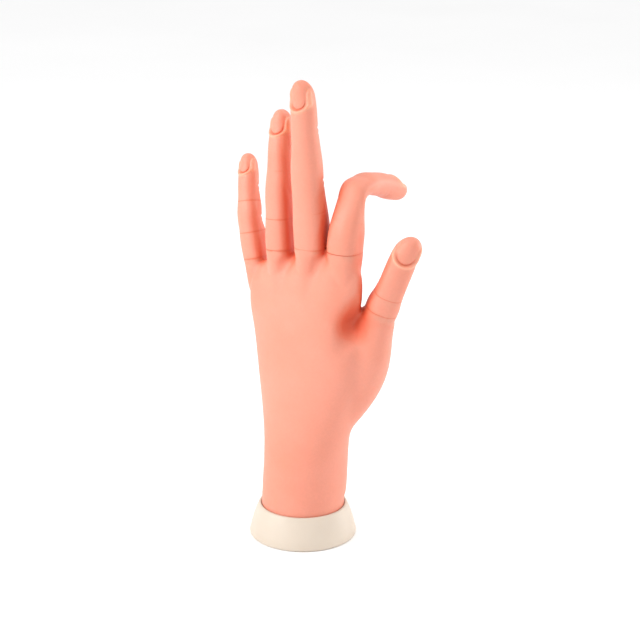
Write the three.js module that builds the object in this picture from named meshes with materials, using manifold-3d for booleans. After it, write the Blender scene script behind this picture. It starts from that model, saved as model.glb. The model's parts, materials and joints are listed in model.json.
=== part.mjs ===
// Nail practice hand: a soft left hand on a jointed inner skeleton and a flared base.
// Millimetres, +Z up, +Y out of the palm, +X to the thumb side, origin under the base.
import * as THREE from 'three';
import { mergeVertices } from 'three/addons/utils/BufferGeometryUtils.js';
import Module from 'manifold-3d';

const wasm = await Module();
wasm.setup();

// Gap left between two pieces that touch or turn in one another
const CLEARANCE = 0.3;

// Flared base
const BASE_HEIGHT = 16.5;
const BASE_FOOT_RADIUS = 27.4;
const BASE_LIP_RADIUS = 22.7;
const BASE_EDGE = 0.9;
const BASE_BULGE = 0.35;
const BASE_FOOT_WIDTH = 3.6;
const BASE_RECESS = 2.4;
const BASE_FLOOR = 5.2;
const BASE_SEAT_DEPTH = 5;
const BASE_BOSS_WALL = 2.6;
const BASE_SIDES = 48;

// Wrist of the skin, which stands in the seat of the base: it keeps its seat's radius for
// WRIST_STEP above the base, and the palm starts at WRIST_HEIGHT
const WRIST_RADIUS = 21.1;
const WRIST_STEP = 1;
const WRIST_HEIGHT = 44;

// Palm: its length up to the middle finger's knuckle hinge, and a height along it that is
// given as a share of that length
const PALM_LENGTH = 113;
const PALM_TOP = WRIST_HEIGHT + PALM_LENGTH;
const along = (share) => WRIST_HEIGHT + share * PALM_LENGTH;

// Screws that hold the frame on the base
const SCREW_COUNT = 3;
const SCREW_CIRCLE = 7;
const SCREW_RADIUS = 1.4;
const SCREW_HEAD_RADIUS = 2.7;
const SCREW_HEAD_HEIGHT = 1.6;
const SCREW_HEAD_TOP = 2.5;
const SCREW_LENGTH = 11;
const SCREW_SLOT = 0.7;
const SCREW_SLOT_DEPTH = 0.8;
const SCREW_SLOT_REACH = 1.9;
const SCREW_SIDES = 12;
const SCREW_HEAD_SIDES = 16;

// Frame inside the palm
const POST_RADIUS = 11.5;
const POST_TOP = WRIST_HEIGHT + 8;
const POST_SIDES = 28;
const PLATE_HALF_DEPTH = 2.6;
const PLATE_FOOT = 6;
const PRONG_LENGTH = 22;
const STRUT_HALF_WIDTH = 2.4;
const STRUT_HALF_DEPTH = 2;

// Outline of the frame's plate from the post up: centre, half breadth and height
const PLATE_OUTLINE = [
  { x: 0, half: 9, z: POST_TOP - PLATE_FOOT },
  { x: 1, half: 18, z: along(0.39) },
  { x: -5.5, half: 27, z: along(0.726) },
];

// Where the struts to the prongs leave the plate: the thumb's, and the fingers' height and
// their distance from the middle as a share of the prong's own
const THUMB_STRUT_FOOT = [10, 3, along(0.23)];
const STRUT_FOOT_HEIGHT = along(0.602);
const STRUT_LEAN = 0.85;

// Heel of a finger's stub in the palm, as a share of the finger's size at its hinge
const STUB_HEEL = 0.72;

// Faces round the palm, the ball of the thumb, a finger, a joint ball and a hinge's drum
const PALM_SIDES = 36;
const THUMB_BALL_SIDES = 24;
const FINGER_SIDES = 16;
const BALL_SIDES = 16;
const DRUM_SIDES = 10;

// How far below the hinge, in ball radii, the cup of the piece below ends
const CUP_DROP = 0.62;

// Waist of a finger piece: its size as a share of the mean of the two ends, and where
// along the piece it starts and is narrowest
const WAIST = 0.97;
const WAIST_START = 0.25;
const WAIST_MIDDLE = 0.55;

// Rounded end of a fingertip: where its taper starts along the piece, its length in half
// depths, its first ring as a share of the finger, the part of a quarter turn that it
// sweeps, and its rings
const TIP_START = 0.3;
const DOME_LENGTH = 1.35;
const DOME_FIRST = 0.94;
const DOME_SWEEP = 0.96;
const DOME_STEPS = 6;

// Skin left over the end of the last link, in half depths
const TIP_COVER = 1.5;

// Spare angle that the notch on the palm side keeps at full bend, and the largest step
// in degrees of the room that a fork sweeps
const NOTCH_SPARE = 3;
const SWEEP_STEP = 15;

// How far a cutter runs past the finger, in half depths
const CUTTER_REACH = 4;

// Hinge hardware: eye radius, pin radius, tongue width and ear width
const LARGE_HINGE = { eye: 2.8, pin: 1.1, tongue: 2.4, ear: 1.3 };
const SMALL_HINGE = { eye: 2.1, pin: 0.8, tongue: 1.8, ear: 1.0 };

// Gap from the round end of a fork to the bar of the link that turns in it
const FORK_GAP = 0.4;

// Depth of a link, as a share of its eye's width
const LINK_DEPTH_SHARE = 0.8;

// Nail beds: sunk by this much, with a deeper slot for a nail tip under the cuticle. The
// rounding and the slot's two half breadths are shares of the bed's half breadth.
const NAIL_RECESS = 0.6;
const NAIL_SLOT = 0.7;
const NAIL_SLOT_REACH = 1.6;
const NAIL_ROUNDING = 0.7;
const NAIL_SLOT_INNER = 0.6;
const NAIL_SLOT_OUTER = 0.8;
const NAIL_CURVE_STEPS = 8;

// Bends that the joints of a finger reach, from straight: [least, greatest]
const KNUCKLE_BEND = [-10, 60];
const MIDDLE_BEND = [0, 95];
const END_BEND = [0, 50];
const THUMB_BASE_BEND = [-15, 25];
const THUMB_END_BEND = [-8, 50];

// Each finger: root is the first hinge, spread its lean to the thumb side in degrees.
// A joint has its bend at rest, its limits, the half breadth and half depth of the
// finger there, its hinge, and the length from it to the next joint or to the tip.
const FINGERS = [
  {
    name: 'index', root: [25.4, 1, PALM_TOP + 1.5], spread: 0, twist: 0,
    nail: { length: 12.5, halfWidth: 4.9 },
    joints: [
      {
        name: 'proximal', rest: 18.5, bend: KNUCKLE_BEND, hinge: LARGE_HINGE,
        across: 8.3, deep: 7.4, length: 25.7,
      },
      {
        name: 'middle', rest: 74, bend: MIDDLE_BEND, hinge: LARGE_HINGE,
        across: 7.7, deep: 6.4, length: 20,
      },
      {
        name: 'distal', rest: 14.5, bend: END_BEND, hinge: SMALL_HINGE,
        across: 6.8, deep: 5.9, length: 20.7,
      },
    ],
  },
  {
    name: 'middle', root: [7, -2, PALM_TOP], spread: -1.5, twist: 0,
    nail: { length: 14, halfWidth: 5.1 },
    joints: [
      {
        name: 'proximal', rest: -4, bend: KNUCKLE_BEND, hinge: LARGE_HINGE,
        across: 8.8, deep: 7.5, length: 30,
      },
      {
        name: 'middle', rest: 1, bend: MIDDLE_BEND, hinge: LARGE_HINGE,
        across: 7.9, deep: 6.7, length: 26,
      },
      {
        name: 'distal', rest: 0, bend: END_BEND, hinge: SMALL_HINGE,
        across: 6.8, deep: 5.9, length: 23.8,
      },
    ],
  },
  {
    name: 'ring', root: [-13.7, -1, PALM_TOP - 5], spread: -4.5, twist: 0,
    nail: { length: 13, halfWidth: 4.7 },
    joints: [
      {
        name: 'proximal', rest: 3, bend: KNUCKLE_BEND, hinge: LARGE_HINGE,
        across: 8.0, deep: 6.9, length: 24,
      },
      {
        name: 'middle', rest: 5, bend: MIDDLE_BEND, hinge: LARGE_HINGE,
        across: 7.3, deep: 6.3, length: 22,
      },
      {
        name: 'distal', rest: 3, bend: END_BEND, hinge: SMALL_HINGE,
        across: 6.6, deep: 5.7, length: 20.8,
      },
    ],
  },
  {
    name: 'little', root: [-36.4, 4, PALM_TOP - 11], spread: -14, twist: 0,
    nail: { length: 11, halfWidth: 3.9 },
    joints: [
      {
        name: 'proximal', rest: 3, bend: KNUCKLE_BEND, hinge: SMALL_HINGE,
        across: 6.7, deep: 5.9, length: 14.5,
      },
      {
        name: 'middle', rest: 10, bend: MIDDLE_BEND, hinge: SMALL_HINGE,
        across: 6.3, deep: 5.5, length: 16,
      },
      {
        name: 'distal', rest: 4, bend: END_BEND, hinge: SMALL_HINGE,
        across: 5.7, deep: 4.9, length: 17,
      },
    ],
  },
  {
    name: 'thumb', root: [39.5, 12, along(0.7035)], spread: 25.5, twist: 39,
    nail: { length: 13, halfWidth: 5.6 },
    joints: [
      {
        name: 'proximal', rest: 0, bend: THUMB_BASE_BEND, hinge: LARGE_HINGE,
        across: 8.2, deep: 7.6, length: 17.5,
      },
      {
        name: 'distal', rest: 8, bend: THUMB_END_BEND, hinge: LARGE_HINGE,
        across: 7.3, deep: 6.4, length: 26.4,
      },
    ],
  },
];

// Wrist section at a height, round as the seat of the base is
function wristSection(z) {
  return { x: 0, y: 0, z, across: WRIST_RADIUS, palmar: WRIST_RADIUS, back: WRIST_RADIUS, rise: 0 };
}

// Palm sections from the wrist up: centre, half breadth, depths to the palm side and
// to the back, and rise towards the thumb side
const PALM_SECTIONS = [
  wristSection(BASE_HEIGHT - BASE_SEAT_DEPTH + CLEARANCE),
  wristSection(BASE_HEIGHT + WRIST_STEP),
  { x: 0.4, y: 0.4, z: along(0), across: 21.0, palmar: 20.6, back: 20.4, rise: 0 },
  { x: 0.8, y: 0.5, z: along(0.106), across: 22.4, palmar: 19.2, back: 18.6, rise: 0 },
  { x: 1.5, y: 1, z: along(0.248), across: 26.6, palmar: 17.2, back: 16.0, rise: 0 },
  { x: 2, y: 1, z: along(0.425), across: 30.8, palmar: 15.4, back: 13.8, rise: 0.04 },
  { x: 1.5, y: 1, z: along(0.602), across: 33.6, palmar: 14.4, back: 12.6, rise: 0.1 },
  { x: -0.3, y: 1, z: along(0.761), across: 34.4, palmar: 12.4, back: 11.0, rise: 0.2 },
  { x: -3, y: 1, z: along(0.898), across: 34.8, palmar: 6.0, back: 7.4, rise: 0.27 },
];

// Ball of the thumb, from the wrist to the thumb's first hinge
const THUMB_BALL_SECTIONS = [
  { x: 7, y: 6, z: along(0.053), across: 10, palmar: 10, back: 9, rise: 0 },
  { x: 13, y: 9.5, z: along(0.195), across: 14.5, palmar: 13.5, back: 12, rise: -0.1 },
  { x: 22, y: 13, z: along(0.372), across: 17, palmar: 14.5, back: 13, rise: -0.2 },
  { x: 29.5, y: 13.5, z: along(0.531), across: 14.5, palmar: 12, back: 11.5, rise: -0.35 },
  { x: 34.5, y: 12.5, z: along(0.633), across: 11, palmar: 9.2, back: 9.2, rise: -0.5 },
];

// Colours and finishes
const FINISHES = {
  skin: { color: 0xefab90, roughness: 0.5, metalness: 0 },
  frame: { color: 0xe9dcc6, roughness: 0.5, metalness: 0 },
  link: { color: 0xe4d6c0, roughness: 0.45, metalness: 0 },
  base: { color: 0xf3e4d0, roughness: 0.42, metalness: 0 },
  steel: { color: 0xb9bcc0, roughness: 0.3, metalness: 1 },
};

const degrees = THREE.MathUtils.degToRad;

// Solid from a closed geometry
function solid(geometry) {
  const bare = geometry.index ? geometry.toNonIndexed() : geometry.clone();
  bare.deleteAttribute('normal');
  bare.deleteAttribute('uv');
  const merged = mergeVertices(bare, 1e-5);
  return new wasm.Manifold(new wasm.Mesh({
    numProp: 3,
    vertProperties: new Float32Array(merged.attributes.position.array),
    triVerts: new Uint32Array(merged.index.array),
  }));
}

// Geometry from a solid
function geometryOf(shape) {
  const mesh = shape.getMesh();
  const geometry = new THREE.BufferGeometry();
  geometry.setAttribute('position', new THREE.BufferAttribute(mesh.vertProperties, 3));
  geometry.setIndex(new THREE.BufferAttribute(mesh.triVerts, 1));
  return geometry.toNonIndexed();
}

const join = (...shapes) => shapes.reduce((whole, next) => whole.add(next));
const cut = (shape, ...tools) => tools.reduce((left, tool) => left.subtract(tool), shape);
const placed = (shape, matrix) => shape.transform(matrix.elements);

// Closed solid through a stack of oval sections
function loft(sections, sides) {
  const last = sections.length - 1;
  const geometry = new THREE.CylinderGeometry(1, 1, last, sides, last);
  geometry.rotateX(Math.PI / 2).translate(0, 0, last / 2);
  const spots = geometry.attributes.position;
  for (let i = 0; i < spots.count; i += 1) {
    const section = sections[Math.round(spots.getZ(i))];
    const x = spots.getX(i) * section.across;
    const y = spots.getY(i) * (spots.getY(i) > 0 ? section.palmar : section.back);
    spots.setXYZ(i, section.x + x, section.y + y, section.z + x * section.rise);
  }
  return solid(geometry);
}

// Oval section of a finger, square to its length
function ovalSection(z, across, deep) {
  return { x: 0, y: 0, z, across, palmar: deep, back: deep, rise: 0 };
}

function box(x0, x1, y0, y1, z0, z1) {
  const geometry = new THREE.BoxGeometry(x1 - x0, y1 - y0, z1 - z0);
  return solid(geometry.translate((x0 + x1) / 2, (y0 + y1) / 2, (z0 + z1) / 2));
}

// Round bar along the hinge line, which is the local X axis
function drum(radius, halfWidth, middle = 0) {
  const geometry = new THREE.CylinderGeometry(radius, radius, 2 * halfWidth, DRUM_SIDES);
  return solid(geometry.rotateZ(Math.PI / 2).translate(middle, 0, 0));
}

function post(radius, z0, z1, sides, x = 0, y = 0) {
  const geometry = new THREE.CylinderGeometry(radius, radius, z1 - z0, sides);
  return solid(geometry.rotateX(Math.PI / 2).translate(x, y, (z0 + z1) / 2));
}

// Prism across the finger from an outline of [along, palmar] points
function prism(points, halfWidth) {
  const outline = new THREE.Shape(points.map(([along, palmar]) => new THREE.Vector2(palmar, along)));
  const geometry = new THREE.ExtrudeGeometry(outline, { depth: 2 * halfWidth, bevelEnabled: false });
  const across = new THREE.Matrix4().makeBasis(
    new THREE.Vector3(0, 1, 0), new THREE.Vector3(0, 0, 1), new THREE.Vector3(1, 0, 0));
  return solid(geometry.translate(0, 0, -halfWidth).applyMatrix4(across));
}

// Ball round a hinge: as wide as the finger, and round about the hinge line
function ball(joint, grow = 0) {
  const geometry = new THREE.SphereGeometry(1, BALL_SIDES, BALL_SIDES / 2).rotateZ(Math.PI / 2);
  return solid(geometry.scale(joint.across + grow, joint.deep + grow, joint.deep + grow));
}

const clevisHalfWidth = (hinge) => hinge.tongue / 2 + CLEARANCE + hinge.ear;
const linkHalfDepth = (hinge) => hinge.eye * LINK_DEPTH_SHARE;
const hingeReach = (hinge) => hinge.eye + FORK_GAP;

// Fork that holds the next link's eye, with its bar back to z = start; the hinge is at z = 0
function fork(hinge, start, grow = 0) {
  const half = clevisHalfWidth(hinge) + grow;
  const deep = linkHalfDepth(hinge) + grow;
  const whole = join(drum(hinge.eye + grow, half), box(-half, half, -deep, deep, start - grow, 0));
  if (grow > 0) return whole;
  const slot = hinge.tongue / 2 + CLEARANCE;
  const reach = hingeReach(hinge);
  const hole = drum(hinge.pin + CLEARANCE, half + 1);
  return cut(whole, box(-slot, slot, -hinge.eye - 1, hinge.eye + 1, -reach, hinge.eye + 1), hole);
}

// Eye that turns in the fork below, with its neck up to the link's bar
function eye(hinge, grow = 0) {
  const half = hinge.tongue / 2 + grow;
  const deep = linkHalfDepth(hinge) + grow;
  const neckTop = hingeReach(hinge) + FORK_GAP;
  const whole = join(drum(hinge.eye + grow, half), box(-half, half, -deep, deep, 0, neckTop));
  return grow > 0 ? whole : cut(whole, drum(hinge.pin + CLEARANCE, half + 1));
}

// Link of one finger joint, from its eye at z = 0 to its fork or to its end in the tip
function link(joint, next, grow = 0) {
  const start = hingeReach(joint.hinge);
  if (next) {
    return join(eye(joint.hinge, grow), fork(next.hinge, start - joint.length, grow)
      .translate([0, 0, joint.length]));
  }
  const half = clevisHalfWidth(joint.hinge) + grow;
  const deep = linkHalfDepth(joint.hinge) + grow;
  const end = joint.length - joint.deep * TIP_COVER + grow;
  return join(eye(joint.hinge, grow), box(-half, half, -deep, deep, start - grow, end));
}

// Half of the notch's angle on the palm side of a joint
const notchAngle = (joint) => degrees((joint.bend[1] + NOTCH_SPARE) / 2);

// Notch cut from the piece above a hinge, and the cut that ends the piece below it
function notchAbove(joint) {
  const far = CUTTER_REACH * joint.deep;
  const spread = far * Math.tan(notchAngle(joint));
  return prism([[0, 0], [spread, far], [-far, far], [-far, 0]], 2 * joint.across);
}

function endBelow(joint, halfWidth = 2 * joint.across) {
  const far = CUTTER_REACH * joint.deep;
  const rim = -CUP_DROP * joint.deep;
  const slope = Math.tan(notchAngle(joint));
  const turn = Math.min(-rim / slope, far);
  return prism([[far, -far], [rim, -far], [rim, turn], [-far * slope, far], [far, far]], halfWidth);
}

// Room inside a ball for the fork below it, at every bend of the joint
function forkSweep(joint) {
  const half = linkHalfDepth(joint.hinge) + CLEARANCE;
  const far = CUTTER_REACH / 2 * joint.deep;
  const [least, greatest] = joint.bend.map(degrees);
  const steps = Math.ceil((greatest - least) / degrees(SWEEP_STEP));
  const points = [[half * Math.sin(-least), -half * Math.cos(least)]];
  const edge = (angle, side) => [
    -far * Math.cos(angle) + side * half * Math.sin(angle),
    far * Math.sin(angle) + side * half * Math.cos(angle)];
  points.push(edge(least, -1));
  for (let i = 0; i <= steps; i += 1) {
    points.push(edge(least + (greatest - least) * i / steps, 1));
  }
  points.push([half * Math.sin(greatest), half * Math.cos(greatest)]);
  const halfWidth = clevisHalfWidth(joint.hinge) + CLEARANCE;
  return join(prism(points, halfWidth), drum(joint.hinge.eye + CLEARANCE, halfWidth));
}

// Outer shape of a finger piece, above its hinge and up to the next hinge or the tip
function pieceBody(joint, next, inset = 0) {
  const across = joint.across - inset;
  const deep = joint.deep - inset;
  if (next) {
    return loft([
      ovalSection(0, across, deep),
      ovalSection(joint.length * WAIST_START, across, deep),
      ovalSection(joint.length * WAIST_MIDDLE,
        (across + next.across) / 2 * WAIST, (deep + next.deep) / 2 * WAIST),
      ovalSection(joint.length, next.across, next.deep),
    ], FINGER_SIDES);
  }
  const dome = deep * DOME_LENGTH;
  const sections = [ovalSection(0, across, deep), ovalSection(joint.length * TIP_START, across, deep)];
  for (let i = 0; i <= DOME_STEPS; i += 1) {
    const angle = i / DOME_STEPS * Math.PI / 2 * DOME_SWEEP;
    const size = DOME_FIRST * Math.cos(angle);
    const z = joint.length - inset - dome + dome * Math.sin(angle);
    sections.push(ovalSection(z, across * size, deep * size));
  }
  return loft(sections, FINGER_SIDES);
}

// Nail bed on the back of a fingertip: a sunk panel and the slot at its root
function nailCut(joint, nail) {
  const end = joint.length + 1;
  const start = joint.length - nail.length;
  const rounded = new THREE.Shape();
  rounded.moveTo(-nail.halfWidth, end);
  rounded.lineTo(-nail.halfWidth, start + nail.halfWidth);
  rounded.absellipse(0, start + nail.halfWidth * NAIL_ROUNDING, nail.halfWidth,
    nail.halfWidth * NAIL_ROUNDING, Math.PI, 2 * Math.PI, false, 0);
  rounded.lineTo(nail.halfWidth, end);
  const geometry = new THREE.ExtrudeGeometry(rounded, {
    depth: 2 * joint.deep, bevelEnabled: false, curveSegments: NAIL_CURVE_STEPS });
  const panel = solid(geometry.rotateX(Math.PI / 2));
  const sunk = cut(panel, pieceBody(joint, null, NAIL_RECESS));
  const slot = loft([
    ovalSection(start - NAIL_SLOT_REACH, nail.halfWidth * NAIL_SLOT_INNER, NAIL_SLOT / 2),
    ovalSection(start + NAIL_SLOT_REACH, nail.halfWidth * NAIL_SLOT_OUTER, NAIL_SLOT / 2),
  ], NAIL_CURVE_STEPS).translate([0, -joint.deep + NAIL_RECESS + NAIL_SLOT / 2, 0]);
  return join(sunk, slot);
}

// Skin of one finger piece
function pieceSkin(finger, index) {
  const joint = finger.joints[index];
  const next = finger.joints[index + 1];
  let skin = cut(pieceBody(joint, next), notchAbove(joint));
  if (!next) skin = cut(skin, nailCut(joint, finger.nail));
  skin = cut(join(skin, ball(joint)), link(joint, next, CLEARANCE), forkSweep(joint));
  if (!next) return skin;
  const nextHinge = [0, 0, joint.length];
  return cut(skin, endBelow(next).translate(nextHinge), ball(next, CLEARANCE).translate(nextHinge));
}

// Local frame of a finger before its first bend
function rootMatrix(finger) {
  const turn = new THREE.Matrix4().makeRotationY(degrees(finger.spread));
  const twist = new THREE.Matrix4().makeRotationZ(degrees(finger.twist));
  const place = new THREE.Matrix4().makeTranslation(...finger.root);
  return place.multiply(turn).multiply(twist);
}

// Stub of the palm that carries a finger, ending in a cup
function stub(finger) {
  const joint = finger.joints[0];
  const body = loft([
    ovalSection(-PRONG_LENGTH, joint.across * STUB_HEEL, joint.deep * STUB_HEEL),
    ovalSection(-joint.deep, joint.across, joint.deep),
    ovalSection(0, joint.across, joint.deep),
  ], FINGER_SIDES);
  return placed(body, rootMatrix(finger));
}

// Flat part of the frame's plate between two heights of its outline
function plate(low, high, grow) {
  const geometry = new THREE.BoxGeometry(2, 2, 1).translate(0, 0, 0.5);
  const spots = geometry.attributes.position;
  for (let i = 0; i < spots.count; i += 1) {
    const top = spots.getZ(i) > 0.5;
    const end = top ? high : low;
    const x = end.x + spots.getX(i) * (end.half + grow);
    const y = spots.getY(i) * (PLATE_HALF_DEPTH + grow);
    spots.setXYZ(i, x, y, end.z + (top ? grow : -grow));
  }
  return solid(geometry);
}

// Strut of the frame between two points
function strut(from, to, grow) {
  const start = new THREE.Vector3(...from);
  const span = new THREE.Vector3(...to).sub(start);
  const turn = new THREE.Quaternion().setFromUnitVectors(
    new THREE.Vector3(0, 0, 1), span.clone().normalize());
  const matrix = new THREE.Matrix4().compose(start, turn, new THREE.Vector3(1, 1, 1));
  const width = STRUT_HALF_WIDTH + grow;
  const deep = STRUT_HALF_DEPTH + grow;
  return placed(box(-width, width, -deep, deep, -grow, span.length() + grow), matrix);
}

const postBottom = BASE_FLOOR + CLEARANCE;

// Frame inside the palm: post, plate and a forked prong for each finger
function palmFrame(grow = 0) {
  let frame = join(
    post(POST_RADIUS + grow, postBottom - grow, POST_TOP + grow, POST_SIDES),
    plate(PLATE_OUTLINE[0], PLATE_OUTLINE[1], grow),
    plate(PLATE_OUTLINE[1], PLATE_OUTLINE[2], grow),
  );
  for (const finger of FINGERS) {
    const matrix = rootMatrix(finger);
    frame = join(frame, placed(fork(finger.joints[0].hinge, -PRONG_LENGTH, grow), matrix));
    const heel = new THREE.Vector3(0, 0, 1 - PRONG_LENGTH).applyMatrix4(matrix);
    const foot = finger.name === 'thumb' ? THUMB_STRUT_FOOT : [heel.x * STRUT_LEAN, 0, STRUT_FOOT_HEIGHT];
    frame = join(frame, strut(foot, heel.toArray(), grow));
  }
  if (grow > 0) return frame;
  const holes = screwPlaces().map(([x, y]) => post(
    SCREW_RADIUS + CLEARANCE, postBottom - 1, SCREW_HEAD_TOP + SCREW_LENGTH + CLEARANCE,
    SCREW_SIDES, x, y));
  return cut(frame, ...holes);
}

// Skin of the palm and wrist, with a cup for each finger
function palmSkin() {
  let skin = join(loft(PALM_SECTIONS, PALM_SIDES), loft(THUMB_BALL_SECTIONS, THUMB_BALL_SIDES));
  for (const finger of FINGERS) skin = join(skin, stub(finger));
  for (const finger of FINGERS) {
    const joint = finger.joints[0];
    const room = join(endBelow(joint, joint.across + CLEARANCE), ball(joint, CLEARANCE));
    skin = cut(skin, placed(room, rootMatrix(finger)));
  }
  return cut(skin, palmFrame(CLEARANCE));
}

function screwPlaces() {
  return Array.from({ length: SCREW_COUNT }, (_, i) => {
    const angle = (i / SCREW_COUNT) * 2 * Math.PI;
    return [SCREW_CIRCLE * Math.sin(angle), SCREW_CIRCLE * Math.cos(angle)];
  });
}

// Base: a flared foot with a seat for the wrist, a socket for the post, and a shallow
// recess round a flat boss underneath
function baseShell() {
  const seat = BASE_HEIGHT - BASE_SEAT_DEPTH;
  const socket = POST_RADIUS + CLEARANCE;
  const bossRadius = socket + BASE_BOSS_WALL;
  const slope = (BASE_FOOT_RADIUS - BASE_LIP_RADIUS) / BASE_HEIGHT;
  const outside = (z) => BASE_FOOT_RADIUS - slope * z;
  const profile = [
    [0, 0],
    [bossRadius, 0],
    [bossRadius, BASE_RECESS],
    [outside(0) - BASE_FOOT_WIDTH, BASE_RECESS],
    [outside(0) - BASE_FOOT_WIDTH, 0],
    [outside(0) - BASE_EDGE, 0],
    [outside(0), BASE_EDGE],
    [outside(BASE_HEIGHT / 2) + BASE_BULGE, BASE_HEIGHT / 2],
    [outside(BASE_HEIGHT - BASE_EDGE), BASE_HEIGHT - BASE_EDGE],
    [outside(BASE_HEIGHT) - BASE_EDGE, BASE_HEIGHT],
    [WRIST_RADIUS + CLEARANCE, BASE_HEIGHT],
    [WRIST_RADIUS + CLEARANCE, seat],
    [socket, seat],
    [socket, BASE_FLOOR],
    [0, BASE_FLOOR],
  ].map(([radius, z]) => new THREE.Vector2(radius, z));
  const turned = solid(new THREE.LatheGeometry(profile, BASE_SIDES).rotateX(Math.PI / 2));
  const holes = screwPlaces().map(([x, y]) => join(
    post(SCREW_RADIUS + CLEARANCE, 0, BASE_FLOOR + 1, SCREW_SIDES, x, y),
    post(SCREW_HEAD_RADIUS + CLEARANCE, -1, SCREW_HEAD_TOP + CLEARANCE, SCREW_HEAD_SIDES, x, y)));
  return cut(turned, ...holes);
}

// Screw with a cross slot, its head down in a recess of the base's underside
function screw() {
  const headTop = SCREW_HEAD_TOP;
  const headBottom = headTop - SCREW_HEAD_HEIGHT;
  const reach = SCREW_SLOT_REACH;
  const half = SCREW_SLOT / 2;
  const slotTop = headBottom + SCREW_SLOT_DEPTH;
  return cut(
    join(post(SCREW_HEAD_RADIUS, headBottom, headTop, SCREW_HEAD_SIDES),
      post(SCREW_RADIUS, headBottom + SCREW_SLOT_DEPTH, headTop + SCREW_LENGTH, SCREW_SIDES)),
    box(-reach, reach, -half, half, headBottom - 1, slotTop),
    box(-half, half, -reach, reach, headBottom - 1, slotTop),
  );
}

// Named mesh with its own material
function piece(name, shape, finish) {
  const mesh = new THREE.Mesh(geometryOf(shape), new THREE.MeshStandardMaterial(FINISHES[finish]));
  mesh.name = name;
  return mesh;
}

// Groups of one finger, each turning in the one before it
function fingerGroup(finger) {
  const root = new THREE.Group();
  root.applyMatrix4(rootMatrix(finger));
  let parent = root;
  let step = 0;
  finger.joints.forEach((joint, index) => {
    const group = new THREE.Group();
    group.position.z = step;
    group.rotation.x = -degrees(joint.rest);
    parent.add(group);
    const label = `${finger.name}_${joint.name}`;
    const pin = drum(joint.hinge.pin, clevisHalfWidth(joint.hinge));
    group.add(
      piece(`${label}_skin`, pieceSkin(finger, index), 'skin'),
      piece(`${label}_link`, link(joint, finger.joints[index + 1]), 'link'),
      piece(`${label}_pin`, pin, 'steel'),
    );
    parent = group;
    step = joint.length;
  });
  return root;
}

const hand = new THREE.Group();
hand.add(
  piece('base_shell', baseShell(), 'base'),
  piece('palm_frame', palmFrame(), 'frame'),
  piece('palm_skin', palmSkin(), 'skin'),
);
screwPlaces().forEach(([x, y], i) => {
  const mesh = piece(`base_screw_${i + 1}`, screw(), 'steel');
  mesh.position.set(x, y, 0);
  hand.add(mesh);
});
for (const finger of FINGERS) hand.add(fingerGroup(finger));

export default hand;
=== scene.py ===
"""Nail practice hand: a soft jointed hand on a flared base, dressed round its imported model.

Tables are in millimetres and degrees, and the scene is in metres. A finger is made straight
along +Z from its first hinge, with its palm side towards +Y, and is then laid in its place.
"""
import json
import math

import bmesh
import bpy
import numpy as np
from mathutils import Matrix, Vector
from mathutils.bvhtree import BVHTree


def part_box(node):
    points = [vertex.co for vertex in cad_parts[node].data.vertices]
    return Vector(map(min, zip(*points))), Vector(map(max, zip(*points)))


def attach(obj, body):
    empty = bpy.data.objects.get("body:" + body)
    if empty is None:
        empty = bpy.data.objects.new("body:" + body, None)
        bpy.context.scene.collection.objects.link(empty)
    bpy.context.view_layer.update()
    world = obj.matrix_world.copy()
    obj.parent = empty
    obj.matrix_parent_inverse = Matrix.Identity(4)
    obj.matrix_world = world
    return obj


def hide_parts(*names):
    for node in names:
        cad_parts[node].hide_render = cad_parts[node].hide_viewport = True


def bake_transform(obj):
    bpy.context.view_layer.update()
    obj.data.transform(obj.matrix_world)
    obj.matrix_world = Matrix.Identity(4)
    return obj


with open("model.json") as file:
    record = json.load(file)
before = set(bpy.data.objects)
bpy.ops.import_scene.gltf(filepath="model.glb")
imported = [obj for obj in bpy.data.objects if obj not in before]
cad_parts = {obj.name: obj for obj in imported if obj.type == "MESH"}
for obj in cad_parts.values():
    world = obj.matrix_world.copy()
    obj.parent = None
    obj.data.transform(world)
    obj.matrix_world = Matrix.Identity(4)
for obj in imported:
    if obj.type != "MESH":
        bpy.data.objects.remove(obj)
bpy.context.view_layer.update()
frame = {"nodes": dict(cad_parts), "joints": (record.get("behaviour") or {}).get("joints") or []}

MM = 0.001
JOINTS = {joint["name"]: joint for joint in frame["joints"]}

# Camera: what it looks at, from where, its focal length in pixels of a 640 pixel frame, and
# the pixel at which the middle of its view falls
TARGET = (0, 0, 118)
DISTANCE = 850
AZIMUTH = 40
ELEVATION = 17
FRAME_PIXELS = 640
FOCAL_PIXELS = 1700
VIEW_MIDDLE = (303, 313.1)
SENSOR = 36

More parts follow.
